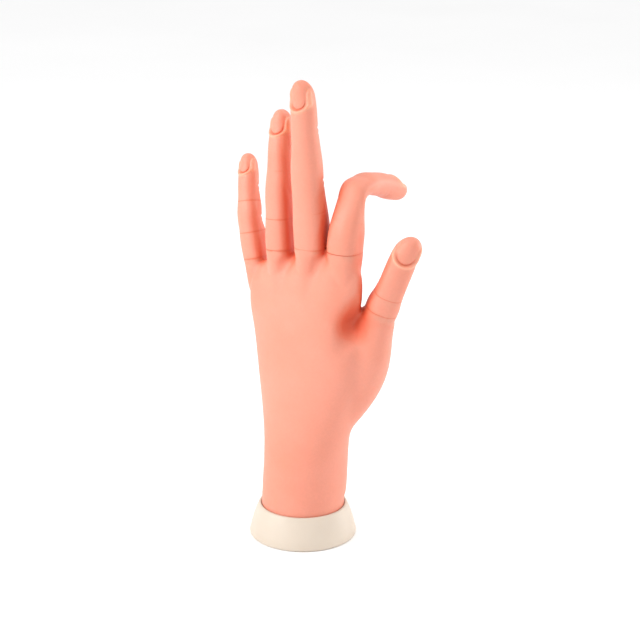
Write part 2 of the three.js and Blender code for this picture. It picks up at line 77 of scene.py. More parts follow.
# Fingers. Each has its first hinge, lean and twist in the palm, and the bend of each hinge as
# it is modelled. For each phalanx come its length, the half breadth and half depth at its
# hinge, the half length of the zone that bends there, and the cut where its piece starts, from
# that hinge. "nail" is the length and half breadth of the nail bed, "bed" its depth and the
# share of it that is kept at the tip, "tip" how far the fingertip is moved aside, "folds" the
# strength of the folds, and "claim" how far from its middle line the palm's skin is still its
# own, as a multiple of its size
FINGERS = {
    "index": {
        "root": (25.4, 1, 158.5), "spread": 0, "twist": 0, "bends": (18.5, 0, 14.5),
        "lengths": (25.7, 20, 19.4), "across": (8.5, 7.7, 6.5), "deep": (7.4, 5.8, 5.5),
        "zones": (7, 9, 5.5), "cuts": (-4.7, 10.5 - 25.7, 13.4 - 20),
        "nail": (12.2, 5), "bed": (1.7, 1), "tip": (0, 0.7), "folds": 0.35, "claim": 1.4,
    },
    "middle": {
        "root": (7, -2, 157), "spread": -1.5, "twist": 0, "bends": (-4, 1, 0),
        "lengths": (30, 26, 23.6), "across": (8.6, 8.2, 6.7), "deep": (7.5, 6.7, 5.9),
        "zones": (7, 8, 5.8), "cuts": (-3.2, 15 - 30, 14 - 26),
        "nail": (14, 5.3), "bed": (0.85, 0.08), "tip": (0, -0.9), "folds": 1, "claim": 1.4,
    },
    "ring": {
        "root": (-13.7, -1, 152), "spread": -4.5, "twist": 0, "bends": (3, 5, 3),
        "lengths": (24, 22, 20.6), "across": (7.3, 6.9, 6.3), "deep": (6.9, 6.3, 5.7),
        "zones": (6, 7, 5.2), "cuts": (-2.5, 12.8 - 24, 12 - 22),
        "nail": (13, 5), "bed": (0.85, 0.08), "tip": (0, -0.8), "folds": 1, "claim": 1.4,
    },
    "little": {
        "root": (-35.9, 4, 146), "spread": -14, "twist": 0, "bends": (3, 10, 4),
        "lengths": (14.5, 16, 17), "across": (6.5, 6.2, 5.5), "deep": (5.9, 5.5, 4.9),
        "zones": (5, 5, 4.3), "cuts": (-6, 7.4 - 14.5, 8.4 - 16),
        "nail": (11, 4.2), "bed": (0.8, 0.08), "tip": (0, -0.7), "folds": 1, "claim": 1.4,
    },
    "thumb": {
        "root": (39.5, 12, 123.5), "spread": 25.5, "twist": 39, "bends": (0, 8),
        "lengths": (17.5, 26), "across": (8.2, 7), "deep": (7.6, 6.3),
        "zones": (5, 5.5), "cuts": (2.4, 11.4 - 17.5),
        "nail": (13.5, 5.8), "bed": (0.85, 0.08), "tip": (1.1, 0), "folds": 1, "claim": 1.2,
    },
}
PHALANGES = {3: ("proximal", "middle", "distal"), 2: ("proximal", "distal")}

# Fold of the index finger at its middle joint: its angle, half of the way square to it over
# which the skin turns, and how far the back of the finger stands out on both sides of it
FOLD_JOINT = JOINTS["index_middle_bend"]
FOLD_ANGLE = 74
FOLD_HALF = 7.5
FOLD_SWELL = 3

# That swell: its share before the joint, its reach, and half of its gap at the joint
SWELL_BEFORE = 0.15
SWELL_REACH = 15
SWELL_GAP = 7

# Flatter corner of the fold: by how much, where past the joint, and its reach
CORNER_DROP = 0.7
CORNER_AT = -1
CORNER_REACH = 6

# Palm side of the index finger: where past the joint its pulp stands out and where the bent
# skin is pressed in, each with its reach, and by how much
PULP_AT = 26
PULP_REACH = 11
PRESS_AT = -9
PRESS_REACH = 9
PALM_SWELL = 1.3

# How far a finger runs down into the palm, and places from there to its knuckle, each with
# its size as a share of the knuckle's
HEEL = 34
HEEL_SIZES = ((-HEEL, 0.66), (-22, 0.8), (-10, 0.96), (0, 1))

# Fuller and slimmer place of each phalanx, as shares of its length, and their sizes as shares
# of its hinges'; then the same for the fingertip, which ends in a dome
BELLY_AT = 0.28
BELLY = 0.995
WAIST_AT = 0.6
WAIST = 0.97
TIP_BELLY_AT = 0.35
TIP_BELLY = 0.99
TIP_SIZE = 0.94
DOME = 1.35
DOME_RINGS = 12
DOME_END = 87
FINGER_SIDES = 32

# Steps of a finger's middle line, in mm, and halvings in the search for the turn of its fold
PATH_STEP = 0.25
HALVINGS = 24

# How much fuller than an oval a finger is near its root, how much its pad there stands out
# on the palm side, and the length of its tip that is moved aside
FULLNESS = 0.4
ROOT_PAD = 0.32
TIP_LENGTH = 12

# Nail bed: how far its root is rounded as a share of its half breadth, the depth of the slot
# at its root, and the rise of the lip round it and of the fold over its root
NAIL_ROOT = 0.8
SLOT_DEPTH = 0.42
LIP_RISE = 0.27
FOLD_RISE = 0.16

# Folds on the palm side at a hinge, the one beside it, the pad between two hinges, and the
# knuckle on the back
CREASE_DEPTH = 0.45
SIDE_CREASE_DEPTH = 0.2
PAD_RISE = 0.35
KNUCKLE_RISE = 0.2

# Wrist: its radius in the seat of the base, and the height of its end there
WRIST_RADIUS = 21.2
WRIST_FOOT = 12.2

# Palm from the wrist up: centre x and y, height, half breadth, half depth, and rise towards
# the thumb side
PALM_RINGS = [
    (0, 0, WRIST_FOOT - 0.5, WRIST_RADIUS, WRIST_RADIUS, 0),
    (0, 0, WRIST_FOOT, WRIST_RADIUS, WRIST_RADIUS, 0), (0.3, 0.2, 19, 21.6, 21.5, 0),
    (0.9, 0.6, 30, 22.1, 21.7, 0), (1.2, 1.1, 44, 22, 21.2, 0), (1.2, 1.3, 56, 23.4, 19.5, 0),
    (1.1, 1.8, 72, 27.5, 17, 0), (1.3, 1.9, 92, 31.6, 14.9, 0.04),
    (0.4, 1.9, 112, 32.9, 13.7, 0.1), (1.3, 1.7, 130, 34.2, 12, 0.2),
    (1, 1.2, 140, 33.4, 9.8, 0.25), (-0.7, 0.6, 146.5, 30.4, 6.2, 0.27),
    (-1.8, 0.4, 150, 23.4, 2.6, 0.28),
]
THUMB_BALL_RINGS = [
    (7, 6.5, 50, 10, 9.5, 0), (13, 10.2, 66, 14.5, 12.8, -0.1), (22, 13.8, 86, 17, 13.8, -0.2),
    (29, 13.8, 104, 14.1, 11.8, -0.35), (34.2, 12.6, 115, 10.6, 9.4, -0.46),
    (37.4, 12.2, 120, 8.8, 8.4, -0.48), (39.3, 12, 123.2, 7.8, 7.2, -0.48),
]

# Hollow on the back below the fork of the thumb, carved in the palm before the thumb joins it:
# centre, height and half breadths of its rings, and their turn about the vertical
HOLLOW_RINGS = [
    (28.7, -12.6, 97, 4, 5), (30.6, -9.1, 103, 5.5, 7), (32.2, -5.5, 109, 6.5, 8.5),
    (33.7, -2.9, 115, 7.5, 10), (34.9, -1.1, 119, 8, 12), (37.4, -3.1, 124, 8, 14),
    (38.9, -4.1, 130, 8, 14), (41.2, -4.1, 136, 8, 14), (44, -4.1, 142, 8, 14),
]
HOLLOW_TURN = -23

# Blade that opens the fork itself
FORK_RINGS = [
    (32.2, 6.4, 120.6, 0.7, 6), (32.5, 6.4, 122.4, 1.2, 9), (33.9, 6.4, 129, 1.5, 10),
    (35.6, 6.5, 137, 2.2, 11),
]
FORK_TURN = 38

# Places along the rim of the hollow, each with the reach and the rounds of its smoothing
RIM = [
    ((26, -9, 104), 9, 30), ((27.5, -8, 111), 10, 45), ((28.5, -7, 118), 10, 45),
    ((29.5, -6, 125), 10, 40), ((31.5, -4, 132), 9, 24),
]

# Webs between fingers and soft places of the palm side, each with the reach and the rounds of
# its smoothing
WEBS = [
    ((-27, 3, 139.5), 10, 30), ((-4.5, -1, 146), 9, 28), ((16.5, 0, 150), 8.5, 24),
    ((30, 4, 119), 7, 6), ((-34, 4, 134), 9, 30), ((18, 14, 112), 13, 50),
    ((10, 15, 96), 17, 80), ((4, 15, 78), 17, 80), ((1, 17, 62), 14, 50),
]

# Valleys on the back, each from its web towards the wrist, with its depth and half width
VALLEYS = [
    ((-27, 3, 140), (-24, -5, 128), 2.4, 4.4), ((-5.5, -1, 147), (-8, -9, 128), 3, 4.7),
    ((15.5, 0, 151), (7.5, -10, 126), 3.2, 4.9),
]

# Ridges from the knuckles towards the wrist, on the back: their rise, half width and length
RIDGE_RISE = 0.7
RIDGE_HALF = 4.6
RIDGE_LENGTH = 52

# Edge of the palm over the corner of the frame, on the little finger's side
EDGE_RISE = 1.75
EDGE_PLACE = (-31.5, -4, 123)
EDGE_SHAPE = (1, 1, 2.6)
EDGE_REACH = 6

# Pads of the palm side, and its hollow last: rise, place in x and z, and half sizes in x and z
PADS = [
    (1.4, 20, 84, 15, 24), (1.6, -19, 84, 11, 28), (0.9, -2, 139, 32, 7),
    (-1.1, 1, 108, 12, 20),
]

# Softening of the skin between two fingers: its reach and its rounds, and the rounds of the
# slope below each stub
SADDLE_REACH = 8
SADDLE_ROUNDS = 40
SLOPE_ROUNDS = 16

# Heights between which the palm's body is smoothed, and above which the palm is sculpted, each
# with the height over which that fades in
BODY_TOP, BODY_TOP_FADE = 118, 12
BODY_FOOT, BODY_FOOT_FADE = 26, 10
SCULPT_FOOT, SCULPT_FADE = 18, 8

# The wrist is round up to the foot of this fade
ROUND_TOP, ROUND_FADE = 24, 6

# Rounds of that smoothing, and of evening out before and after the sculpting
BODY_ROUNDS = 70
EVEN_ROUNDS = 6
LAST_EVEN_ROUNDS = 5
PALM_VOXEL = 0.7
PALM_SIDES = 32
KNIFE_SIDES = 24

# How far below its cut the palm's skin can still be a finger's own, how far past the cut a stub
# runs before it is cut, and how close points of its rim are merged, in metres
OWNED_BELOW = 6
STUB_PAST = 5
RIM_MERGE = 0.00012

# A stub meets its finger over the whole of this length below the cut, and less and less over
# the next; its skin is its finger's up to this share of the finger's size, and fades past it
STUB_MEETS = 1.7
STUB_FADES = 3.7
STUB_SIZE = 1.15
STUB_EDGE = 0.19

# Each piece ends in a tongue, inset by this, that goes into a socket, inset by less and deeper
TONGUE_INSET = 0.32
SOCKET_INSET = 0.18
SOCKET_MORE = 0.4
SHORT_TONGUE = 1.2
TONGUE = 2.5

# Directions that a point of the skin is looked at from, how near another part of the hand has
# to be to shade it, in mm, the start of each look above the skin, how much a look has to point
# out of the skin, and the rounds of smoothing
LOOKS = 48
SHADE_REACH = 28
LOOK_START = 0.3
LOOK_LEAST = 0.1
SHADE_ROUNDS = 6

# Deeper shade in the fork of the thumb: its share, middle and reach
FORK_SHADE = 0.5
FORK_PLACE = (30.5, 2.5, 120)
FORK_SHADE_REACH = 10

# Skin in linear red, green and blue, what it is multiplied by as its share of painted shade
# grows, and what by for the painted highlight on the lip of a nail bed
SKIN = (0.74, 0.275, 0.19)
SKIN_PALE = (0.76, 0.295, 0.21)
SKIN_DEEP = (0.72, 0.255, 0.17)
SHADE_TINTS = [
    (0.08, (1, 1, 1)), (0.28, (0.97, 0.68, 0.56)), (0.52, (0.9, 0.4, 0.26)),
    (0.8, (0.76, 0.28, 0.17)),
]
LIP_HIGHLIGHT_TINT = (1.08, 1.35, 1.3)

# Base: radius and height round its outside and underside, and for each of its screws the
# radius and top of the holes for the screw and for its head
BASE_PROFILE = [
    (14.4, 0), (14.4, 2.4), (23.8, 2.4), (23.8, 0), (26.6, 0), (27.4, 0.5), (27.5, 1.4),
    (26.5, 5.4), (25.4, 9.6), (24.2, 13), (23.2, 15.3), (22.7, 16.2), (22.1, 16.5),
    (21.6, 16.4), (21.4, 16), (21.4, 11.5), (11.8, 11.5), (11.8, 5.2),
]
BASE_SIDES = 128
BASE_BEVEL = 0.2
SCREW_COUNT = 3
SCREW_HOLES = ((1.7, 6.2), (3, 2.8))
SCREW_HOLE_SIDES = 48

# Soft boxes: place from the hand's middle to the camera's right, towards the camera and up,
# in metres, size in metres, and power in watts
LIGHTS = {
    "key": ((-0.9, 0.3, 0.4), 0.5, 7.2), "fill": ((0.88, -0.3, 0.25), 0.4, 3.3),
    "top": ((0.35, 0, 0.9), 0.3, 1.6),
}


def smooth(t):
    """Eases from 0 to 1."""
    t = np.clip(t, 0, 1)
    return t * t * (3 - 2 * t)


def bump(distance, width):
    """Bell of height 1."""
    return np.exp(-(distance / width) ** 2)


def flow(places, at, values):
    """Smooth curve through values."""
    at, values = np.array(at, float), np.array(values, float)
    slope = np.gradient(values, at)
    i = np.clip(np.searchsorted(at, places) - 1, 0, len(at) - 2)
    step = at[i + 1] - at[i]
    t = np.clip((places - at[i]) / step, 0, 1)
    return (values[i] * (1 + 2 * t) * (1 - t) ** 2 + slope[i] * step * t * (1 - t) ** 2
            + values[i + 1] * t * t * (3 - 2 * t) + slope[i + 1] * step * t * t * (t - 1))


def clear():
    """Nothing selected."""
    bpy.ops.object.select_all(action="DESELECT")


def pick(obj):
    """Only this object selected, and active."""
    clear()
    obj.select_set(True)
    bpy.context.view_layer.objects.active = obj


def duplicate(obj):
    pick(obj)
    bpy.ops.object.duplicate()
    return bpy.context.active_object


def points(obj):
    co = np.empty(len(obj.data.vertices) * 3)
    obj.data.vertices.foreach_get("co", co)
    return co.reshape(-1, 3)


def normals(obj):
    out = np.empty(len(obj.data.vertices) * 3)
    obj.data.vertices.foreach_get("normal", out)
    return out.reshape(-1, 3)


def move_to(obj, co):
    obj.data.vertices.foreach_set("co", np.asarray(co, float).ravel())
    obj.data.update()


def apply(obj, kind, **values):
    """Adds a modifier and applies it."""
    pick(obj)
    modifier = obj.modifiers.new(kind.title(), kind)
    for name, value in values.items():
        setattr(modifier, name, value)
    bpy.ops.object.modifier_apply(modifier=modifier.name)


def tube(name, rings, sides):
    """Closed tube grown ring by ring along +Z: x, y, z, half breadth and half depth in mm."""
    clear()
    x, y, z, across, deep = rings[0]
    bpy.ops.mesh.primitive_circle_add(vertices=sides, radius=MM, fill_type="NGON")
    obj = bpy.context.active_object
    obj.name = name
    bpy.ops.object.mode_set(mode="EDIT")
    bpy.ops.mesh.select_all(action="SELECT")
    bpy.ops.transform.resize(value=(across, deep, 1), center_override=(0, 0, 0))
    bpy.ops.transform.translate(value=(x * MM, y * MM, z * MM))
    for before, ring in zip(rings, rings[1:]):
        step = [(b - a) * MM for a, b in zip(before[:3], ring[:3])]
        bpy.ops.mesh.extrude_region_move(TRANSFORM_OT_translate={"value": step})
        bpy.ops.transform.resize(
            value=(ring[3] / before[3], ring[4] / before[4], 1),
            center_override=[v * MM for v in ring[:3]])
    bpy.ops.mesh.select_all(action="SELECT")
    bpy.ops.mesh.normals_make_consistent(inside=False)
    bpy.ops.object.mode_set(mode="OBJECT")
    return obj


def finger_rings(spec):
    """Rings of a straight finger, from its heel in the palm to its tip."""
    hinges = np.concatenate([[0], np.cumsum(spec["lengths"])])
    tip = hinges[-1]
    nail_start = tip - spec["nail"][0]
    dome = spec["deep"][-1] * DOME
    at = [place for place, _ in HEEL_SIZES]
    for i, length in enumerate(spec["lengths"][:-1]):
        at += [hinges[i] + BELLY_AT * length, hinges[i] + WAIST_AT * length, hinges[i + 1]]
    at += [hinges[-2] + TIP_BELLY_AT * spec["lengths"][-1], tip - dome]
    # The rings stand closer together towards the nail
    reach = np.concatenate([
        np.arange(-HEEL, -8, 4), np.arange(-8, nail_start - 4, 2),
        np.arange(nail_start - 4, tip - dome, 1)])
    along = []
    for sizes in (spec["across"], spec["deep"]):
        values = [sizes[0] * share for _, share in HEEL_SIZES]
        for before, after in zip(sizes, sizes[1:]):
            values += [before * BELLY, (before + after) / 2 * WAIST, after]
        values += [sizes[-1] * TIP_BELLY, sizes[-1] * TIP_SIZE]
        along.append(flow(reach, at, values))
    rings = [(0, 0, s, a, d) for s, a, d in zip(reach, *along)]
    for angle in np.radians(np.linspace(0, DOME_END, DOME_RINGS)):
        size = TIP_SIZE * math.cos(angle)
        rings.append((0, 0, tip - dome + dome * math.sin(angle),
                      spec["across"][-1] * size, spec["deep"][-1] * size))
    return rings


def nail_edge(co, spec):
    """Distance out from the nail bed's edge, and the share of the back, for each point."""
    length, half = spec["nail"]
    low = sum(spec["lengths"]) - length
    root = half * NAIL_ROOT
    x, y, z = co.T
    past = np.minimum((z - low - root) / root, 0)
    return (np.hypot(x / half, past) - 1) * half * 0.95, smooth(-y / 1.2)


def nail_bed(co, spec):
    """Depth of the nail bed, open at the fingertip, at each point of a straight finger, in mm."""
    length, half = spec["nail"]
    low = sum(spec["lengths"]) - length
    z = co[:, 2]
    edge, back = nail_edge(co, spec)
    fold = smooth((low + half * NAIL_ROOT * 1.3 - z) / 2.5)
    depth, share = spec["bed"]
    open_end = share + (1 - share) * smooth((low + length - z) / 7)
    bed = depth * smooth(-edge / 0.45 + 0.5) * open_end
    lip = (LIP_RISE + FOLD_RISE * fold) * bump(edge - 0.75, 0.6)
    slot = SLOT_DEPTH * bump(edge + 0.55, 0.25) * fold
    return (bed + slot - lip) * back


def nail_lip_highlight(co, spec):
    """How near each point is to the lip round the nail bed, from 0 to 1; the lip gets a painted
    highlight.
    """
    edge, back = nail_edge(co, spec)
    return bump(edge - 0.9, 1) * back


def creases(co, spec):
    """Depth of the folds on the palm side of a straight finger, in mm."""
    x, y, z = co.T
    depth = np.zeros(len(co))
    hinge = spec["lengths"][0]
    for length, deep in zip(spec["lengths"][1:], spec["deep"][1:]):
        palm_side = smooth((y + 1) / deep)
        back = smooth((-y - 1) / deep)
        arched = z - hinge - 0.25 * np.abs(x) ** 1.2 / 4
        depth += CREASE_DEPTH * palm_side * bump(arched, 0.7)
        depth += SIDE_CREASE_DEPTH * palm_side * bump(z - hinge + 2.4, 0.6)
        depth -= PAD_RISE * palm_side * bump(z - hinge + length * 0.5, length * 0.3)
        depth -= KNUCKLE_RISE * back * bump(z - hinge, 5)
        hinge += length
    return depth * spec["folds"]


def folded_index(co, spec):
    """Moves the back and the palm side of the straight index finger for its fold, in mm."""
    past = co[:, 2] - spec["lengths"][0]
    swell = np.where(past < 0, SWELL_BEFORE, 1) * FOLD_SWELL
    co[:, 1] -= swell * (1 - bump(past, SWELL_GAP)) * bump(past, SWELL_REACH)
    co[:, 1] += (CORNER_DROP * bump(past - CORNER_AT, CORNER_REACH)
                 * smooth(-co[:, 1] / 3))
    front = smooth(co[:, 1] / 3)
    co[:, 1] += (PALM_SWELL * front * bump(past - PULP_AT, PULP_REACH)
                 - PALM_SWELL * front * bump(past - PRESS_AT, PRESS_REACH))


def finger_tube(name):
    """Whole straight finger with its nail bed and folds, in metres."""
    spec = FINGERS[name]
    obj = tube(name + "_whole", finger_rings(spec), FINGER_SIDES)
    apply(obj, "SUBSURF", levels=2, render_levels=2)
    co = points(obj) / MM
    length, first = sum(spec["lengths"]), spec["lengths"][0]
    hinges = np.cumsum((0,) + spec["lengths"][:-1])
    across = np.interp(co[:, 2], hinges, spec["across"])
    deep = np.interp(co[:, 2], hinges, spec["deep"])
    turn = np.arctan2(co[:, 1] / deep, co[:, 0] / across)
    power = 2 + FULLNESS * smooth(1.1 - co[:, 2] / length) * smooth(2 + co[:, 2] / 15)
    fuller = (np.abs(np.cos(turn)) ** power + np.abs(np.sin(turn)) ** power) ** (-1 / power)
    co[:, :2] *= fuller[:, None]
    if name == "index":
        folded_index(co, spec)
    if name != "thumb":
        pad = smooth(1 - co[:, 2] / first) * smooth(1 + (co[:, 2] + 8) / 14)
        co[:, 1] *= 1 + ROOT_PAD * pad * smooth(co[:, 1] / 3)
    aside = smooth((co[:, 2] - length + TIP_LENGTH) / TIP_LENGTH)
    co[:, :2] += aside[:, None] * spec["tip"]
    move_to(obj, co * MM)
    depth = nail_bed(co, spec) + creases(co, spec)
    move_to(obj, (co - normals(obj) * depth[:, None]) * MM)
    # Where the lip round the nail bed gets a painted highlight
    lip = obj.data.attributes.new("lip", "FLOAT", "POINT")
    lip.data.foreach_set("value", nail_lip_highlight(co, spec))
    return obj


def root_matrix(spec):
    """Place and lean of a finger's first hinge on the hand."""
    return (Matrix.Translation(Vector(spec["root"]) * MM)
            @ Matrix.Rotation(math.radians(spec["spread"]), 4, "Y")
            @ Matrix.Rotation(math.radians(spec["twist"]), 4, "Z"))


def finger_path(spec):
    """Stations along a finger, how far it has bent there, and its middle line, in mm."""
    reach = np.arange(-HEEL - 4, sum(spec["lengths"]) + 4, PATH_STEP)
    hinges = np.concatenate([[0], np.cumsum(spec["lengths"])])
    bend, rate = np.zeros(len(reach)), np.ones(len(reach))
    for turn, hinge, zone in zip(np.radians(spec["bends"]), hinges, spec["zones"]):
        share = (reach - hinge + zone) / (2 * zone)
        bend += turn * smooth(share)
        inside = (share > 0) & (share < 1)
        rate[inside] = (math.cos(turn / 2)
                        / np.mean(np.cos(turn * (smooth(share[inside]) - 0.5))))
    along = np.stack([np.sin(bend), np.cos(bend)]) * rate
    line = np.cumsum((along[:, 1:] + along[:, :-1]) / 2 * PATH_STEP, axis=1)
    line = np.concatenate([[[0], [0]], line], axis=1)
    start = np.array([np.interp(0, reach, line[0]), np.interp(0, reach, line[1])])
    return reach, bend, line - start[:, None]


def lay(obj, name):
    """Moves a straight finger, or a piece of one, to its place on the hand."""
    spec = FINGERS[name]
    reach, bend, line = finger_path(spec)
    x, y, s = (points(obj) / MM).T
    turn = np.interp(s, reach, bend)
    co = np.stack([x, np.interp(s, reach, line[0]) + y * np.cos(turn),
                   np.interp(s, reach, line[1]) - y * np.sin(turn)], axis=1) * MM
    matrix = np.array(root_matrix(spec))
    co = co @ matrix[:3, :3].T + matrix[:3, 3]
    move_to(obj, folded(co) if name == "index" else co)


def fold_ends():
    """Where the skin of the index finger's fold starts and ends turning, in metres."""
    spec = FINGERS["index"]
    middle = math.radians(spec["bends"][0] + FOLD_ANGLE / 2)
    way = root_matrix(spec).to_3x3() @ Vector((0, math.sin(middle), math.cos(middle)))
    pivot = Vector(FOLD_JOINT["pos_m"])
    return pivot - way * FOLD_HALF * MM, pivot + way * FOLD_HALF * MM


def folded(co):
    """Bends the straightened index finger about its middle joint, by the angle of its fold."""
    start, end = (np.array(place) for place in fold_ends())
    way = end - start
    pivot, axis = np.array(FOLD_JOINT["pos_m"]), np.array(FOLD_JOINT["axis"])
    kept = ((co - pivot) @ axis)[:, None] * axis
    flat = co - pivot - kept
    side = np.cross(axis, flat)
    low, high = np.zeros(len(co)), np.ones(len(co))
    for _ in range(HALVINGS):
        share = (low + high) / 2
        turn = (share * math.radians(FOLD_ANGLE))[:, None]
        turned = pivot + kept + flat * np.cos(turn) + side * np.sin(turn)
        ahead = smooth((turned - start) @ way / (way @ way)) > share
        low, high = np.where(ahead, share, low), np.where(ahead, high, share)
    return turned


def cut_straight(obj, height, keep_above):
    """Cuts a straight finger square across and closes it; the cut stays selected."""
    pick(obj)
    bpy.ops.object.mode_set(mode="EDIT")
    bpy.ops.mesh.select_all(action="SELECT")
    bpy.ops.mesh.bisect(
        plane_co=(0, 0, height * MM), plane_no=(0, 0, 1), use_fill=True,
        clear_inner=keep_above, clear_outer=not keep_above)
    mesh = bmesh.from_edit_mesh(obj.data)
    bpy.ops.mesh.select_mode(type="FACE")
    for face in mesh.faces:
        face.select = (abs(face.calc_center_median().z - height * MM) < 1e-6
                       and abs(face.normal.z) > 0.99)
    bmesh.update_edit_mesh(obj.data)


def tongue_depth(name, index):
    """How deep the tongue of a piece goes into the piece below it, in mm."""
    short = name in ("index", "little") or (index == 0 and name != "thumb")
    return SHORT_TONGUE if short else TONGUE


def sink(inset, depth):
    """Insets the selected end of a piece and moves it down along a straight finger, in mm."""
    bpy.ops.mesh.inset(thickness=inset * MM)
    bpy.ops.mesh.extrude_region_move(TRANSFORM_OT_translate={"value": (0, 0, -depth * MM)})
    bpy.ops.object.mode_set(mode="OBJECT")


def finger_piece(whole, name, index):
    """Piece of a finger round one joint, with a tongue below and a socket above."""
    spec = FINGERS[name]
    hinges = np.concatenate([[0], np.cumsum(spec["lengths"])])
    count = len(spec["lengths"])
    obj = duplicate(whole)
    obj.name = f"{name}_{PHALANGES[count][index]}_soft"
    obj.data.name = obj.name
    cut_straight(obj, hinges[index] + spec["cuts"][index], True)
    sink(TONGUE_INSET, tongue_depth(name, index))
    if index + 1 < count:
        cut_straight(obj, hinges[index + 1] + spec["cuts"][index + 1], False)
        sink(SOCKET_INSET, tongue_depth(name, index + 1) + SOCKET_MORE)
    lay(obj, name)
    return obj


def in_finger(co, name):
    """Points of the hand in the straight frame of a finger's root, in mm."""
    matrix = np.array(root_matrix(FINGERS[name]).inverted())
    return (co @ matrix[:3, :3].T + matrix[:3, 3]) / MM


def owners(co):
    """Which finger each point is nearest to, by its distance from the finger's middle line."""
    sizes = []
    for name, spec in FINGERS.items():
        x, y, s = in_finger(co, name).T
        away = np.hypot(x / spec["across"][0], y / spec["deep"][0]) / spec["claim"]
        sizes.append(np.where(s > spec["cuts"][0] - OWNED_BELOW, away, np.inf))
    names = np.array(list(FINGERS) + ["none"])
    nearest = np.argmin(sizes, axis=0)
    return names[np.where(np.min(sizes, axis=0) < 1, nearest, len(FINGERS))]


def neighbour_counts(edges, number):
    return np.maximum(np.bincount(edges.ravel(), minlength=number), 1)[:, None]


def pull(values, edges, counts):
    """Way from each point's values to the mean of its neighbours', along the edges."""
    a, b = edges.T
    total = np.stack([np.bincount(a, column[b], len(values))
                      + np.bincount(b, column[a], len(values)) for column in values.T], axis=1)
    return total / counts - values


def even_out(co, edges, rounds):
    """Smooths points along their edges without shrinking them."""
    counts = neighbour_counts(edges, len(co))
    for _ in range(rounds):
        for step in (0.55, -0.57):
            co = co + pull(co, edges, counts) * step
    return co


def soften(co, edges, share, rounds):
    """Rounds off hollows, each point by its own share."""
    counts = neighbour_counts(edges, len(co))
    for _ in range(rounds):
        co = co + pull(co, edges, counts) * 0.5 * share[:, None]
    return co


def soften_places(co, edges, places):
    """Rounds off hollows round each of some places, within its reach."""
    for place, reach, rounds in places:
        away = np.linalg.norm(co - np.array(place), axis=1)
        co = soften(co, edges, smooth(1.6 * (1 - away / reach)), rounds)
    return co


def edge_ends(obj):
    """Numbers of the two points of each edge of an object."""
    edges = np.empty(len(obj.data.edges) * 2, int)
    obj.data.edges.foreach_get("vertices", edges)
    return edges.reshape(-1, 2)


def remesh(obj):
    apply(obj, "REMESH", mode="VOXEL", voxel_size=PALM_VOXEL * MM, use_smooth_shade=True)


def carve(obj, name, rings, turn):
    """Cuts a tube out of an object; its rings are turned about the vertical, in degrees."""
    matrix = np.array(Matrix.Rotation(math.radians(turn), 3, "Z"))
    places = np.array([ring[:3] for ring in rings]) @ matrix
    knife = tube(name, [(*place, *ring[3:]) for place, ring in zip(places, rings)], KNIFE_SIDES)
    apply(knife, "SUBSURF", levels=2, render_levels=2)
    move_to(knife, points(knife) @ matrix.T)
    apply(obj, "BOOLEAN", operation="DIFFERENCE", object=knife, solver="EXACT")
    bpy.data.objects.remove(knife)


def limb(name, rings):
    """Tube of the palm, subdivided, with its rings tilted towards the thumb side."""
    obj = tube(name, [ring[:5] for ring in rings], PALM_SIDES)
    apply(obj, "SUBSURF", levels=2, render_levels=2)
    co = points(obj) / MM
    heights = [ring[2] for ring in rings]
    middle = np.interp(co[:, 2], heights, [ring[0] for ring in rings])
    co[:, 2] += (co[:, 0] - middle) * np.interp(co[:, 2], heights, [r[5] for r in rings])
    move_to(obj, co * MM)
    return obj


def sculpt_palm(co, out):
    """Raises the pads, ridges and folds of the palm, in mm along its normals."""
    x, y, z = co.T
    back = smooth((-out[:, 1] - 0.1) / 0.5)
    front = smooth((out[:, 1] - 0.1) / 0.5)
    rise = np.zeros(len(co))
    for name in ("index", "middle", "ring", "little"):
        root_x, _, root_z = FINGERS[name]["root"]
        below = root_z - z
        fade = smooth((below + 4) / 10) * (1 - smooth(below / RIDGE_LENGTH))
        middle = root_x * (1 - 0.45 * below / 100)
        rise += RIDGE_RISE * back * fade * bump(x - middle, RIDGE_HALF)
    for start, end, depth, width in VALLEYS:
        start, way = np.array(start), np.array(end) - np.array(start)
        share = np.clip((co - start) @ way / (way @ way), 0, 1)
        away = np.linalg.norm((co - start - share[:, None] * way) * (1, 0.6, 1), axis=1)
        rise -= depth * (1 - smooth(share * 0.9)) * bump(away, width) * smooth(0.5 - out[:, 1])
    from_edge = np.linalg.norm((co - EDGE_PLACE) / EDGE_SHAPE, axis=1)
    rise += EDGE_RISE * bump(from_edge, EDGE_REACH)
    for lift, pad_x, pad_z, half_x, half_z in PADS:
        rise += lift * front * bump(np.hypot((x - pad_x) / half_x, (z - pad_z) / half_z), 1)
    return rise


def finger_tree(whole, name):
    """Search tree of the surface of a whole finger in its place."""
    copy = duplicate(whole)
    lay(copy, name)
    polygons = [list(face.vertices) for face in copy.data.polygons]
    tree = BVHTree.FromPolygons([Vector(place) for place in points(copy)], polygons)
    bpy.data.objects.remove(copy)
    return tree


def finger_stub(whole, name):
    """Lower end of a finger in its place, to just past the first cut."""
    stub = duplicate(whole)
    cut_straight(stub, FINGERS[name]["cuts"][0] + STUB_PAST, False)
    bpy.ops.object.mode_set(mode="OBJECT")
    lay(stub, name)
    return stub


def soften_saddles(co, edges):
    """Makes the skin between two fingers one soft saddle."""
    ends = [np.array(root_matrix(spec) @ Vector((0, 0, spec["cuts"][0] * MM))) / MM
            for name, spec in FINGERS.items() if name != "thumb"]
    ends.sort(key=lambda end: end[0])
    saddles = [(first + second) / 2 for first, second in zip(ends, ends[1:])]
    away = [np.linalg.norm(co - saddle, axis=1) for saddle in saddles]
    return soften(co, edges, bump(np.min(away, axis=0), SADDLE_REACH), SADDLE_ROUNDS)


def round_wrist(co):
    """Keeps the part of the wrist that stands in the base round."""
    x, y, z = co.T
    ring = smooth((ROUND_TOP - z) / ROUND_FADE)
    scale = (1 + ring * (WRIST_RADIUS / np.maximum(np.hypot(x, y), 1) - 1)
             * (z > WRIST_FOOT))
    co[:, 0] *= scale
    co[:, 1] *= scale


